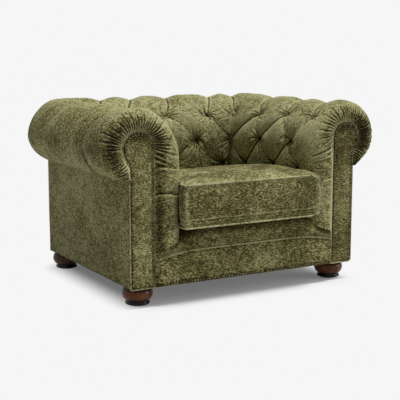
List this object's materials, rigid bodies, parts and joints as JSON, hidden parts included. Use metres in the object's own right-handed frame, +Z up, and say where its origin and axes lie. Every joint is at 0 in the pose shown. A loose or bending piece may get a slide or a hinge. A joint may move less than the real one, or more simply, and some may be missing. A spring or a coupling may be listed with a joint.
{
  "type": "armchair",
  "caption": "Low armchair with rolled arms and back at one height, deep diamond buttoning, gathered arm fronts, a loose boxed seat cushion and turned bun feet.",
  "frame": {"origin": "on the floor under the middle of the chair's overall width and depth", "axes": "+Z up, -Y towards the front of the seat where the sitter's legs are, +X to the right as the chair is seen from the front"},
  "size_m": [1.216, 0.95, 0.7319],
  "materials": {
    "chenille": "matte olive-green chenille upholstery cloth with a short mottled pile",
    "beech": "planed, unfinished frame timber",
    "mahogany": "turned wood, dark red-brown stain, gloss lacquer",
    "steel": "plain drawn steel wire and threaded rod",
    "felt": "black non-woven felt",
    "hessian": "coarse jute cloth over pressed padding"
  },
  "bodies": {
    "chair": {"left_arm_facing": "chenille", "right_arm_facing": "chenille", "left_outside_arm_panel": "chenille", "right_outside_arm_panel": "chenille", "left_inside_arm_pad": "chenille", "right_inside_arm_pad": "chenille", "inside_back_pad": "chenille", "outside_back_panel": "chenille", "front_lip": "chenille", "front_border": "chenille", "left_scroll_board": "beech", "right_scroll_board": "beech", "left_back_post": "beech", "right_back_post": "beech", "left_seat_rail": "beech", "right_seat_rail": "beech", "left_arm_outer_rail": "beech", "right_arm_outer_rail": "beech", "left_arm_tack_rail": "beech", "right_arm_tack_rail": "beech", "left_arm_roll_rail": "beech", "right_arm_roll_rail": "beech", "left_front_corner_block": "beech", "right_front_corner_block": "beech", "front_seat_rail": "beech", "back_seat_rail": "beech", "back_outer_rail": "beech", "back_tack_rail": "beech", "back_roll_rail": "beech", "left_front_foot": "mahogany", "left_back_foot": "mahogany", "right_front_foot": "mahogany", "right_back_foot": "mahogany", "left_front_foot_stud": "steel", "left_back_foot_stud": "steel", "right_front_foot_stud": "steel", "right_back_foot_stud": "steel", "seat_spring_1": "steel", "seat_spring_2": "steel", "seat_spring_3": "steel", "seat_spring_4": "steel", "seat_spring_5": "steel", "left_front_glide": "felt", "left_back_glide": "felt", "right_front_glide": "felt", "right_back_glide": "felt", "dust_cover": "felt", "seat_deck": "hessian"},
    "cushion": {"seat_cushion": "chenille"}
  },
  "joints": [
    {"name": "cushion_lift", "type": "slide", "parent": "chair", "child": "cushion", "axis": [0, 0, 1], "range_m": [0, 0.45]}
  ]
}
